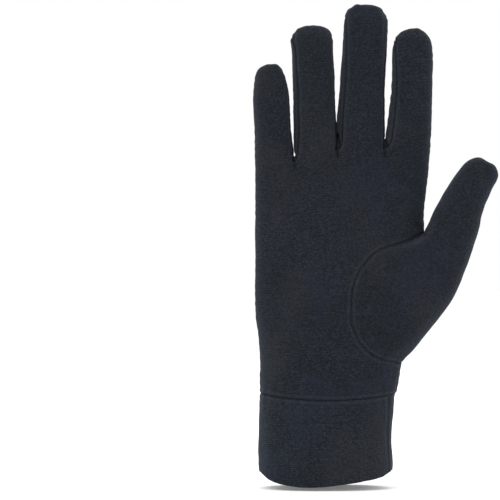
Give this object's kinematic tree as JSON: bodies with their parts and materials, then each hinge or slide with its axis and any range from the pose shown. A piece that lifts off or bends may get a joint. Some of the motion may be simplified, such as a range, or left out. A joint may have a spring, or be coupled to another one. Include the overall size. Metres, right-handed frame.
{
  "type": "glove liner",
  "caption": "Thin dark stretch-knit liner for a right hand, worn form, with set-in thumb, strips between the fingers and a doubled wrist cuff",
  "frame": {"origin": "middle of the cuff's mouth, at the level of the lowest point of the hem, where a wrist holds the glove", "axes": "+Z from the cuff to the fingertips, the palm faces -Y, the thumb is toward +X"},
  "size_m": [0.1257, 0.043, 0.2505],
  "materials": {
    "knit": "fine smooth stretch knit, very dark blue grey, matt with a faint sheen at its edges",
    "cuff_knit": "the same knit, doubled into a band"
  },
  "bodies": {
    "root": {"palm_panel": "knit", "back_panel": "knit", "thumb_panel": "knit", "fourchette_index_middle": "knit", "fourchette_middle_ring": "knit", "fourchette_ring_little": "knit", "cuff": "cuff_knit"}
  },
  "joints": []
}
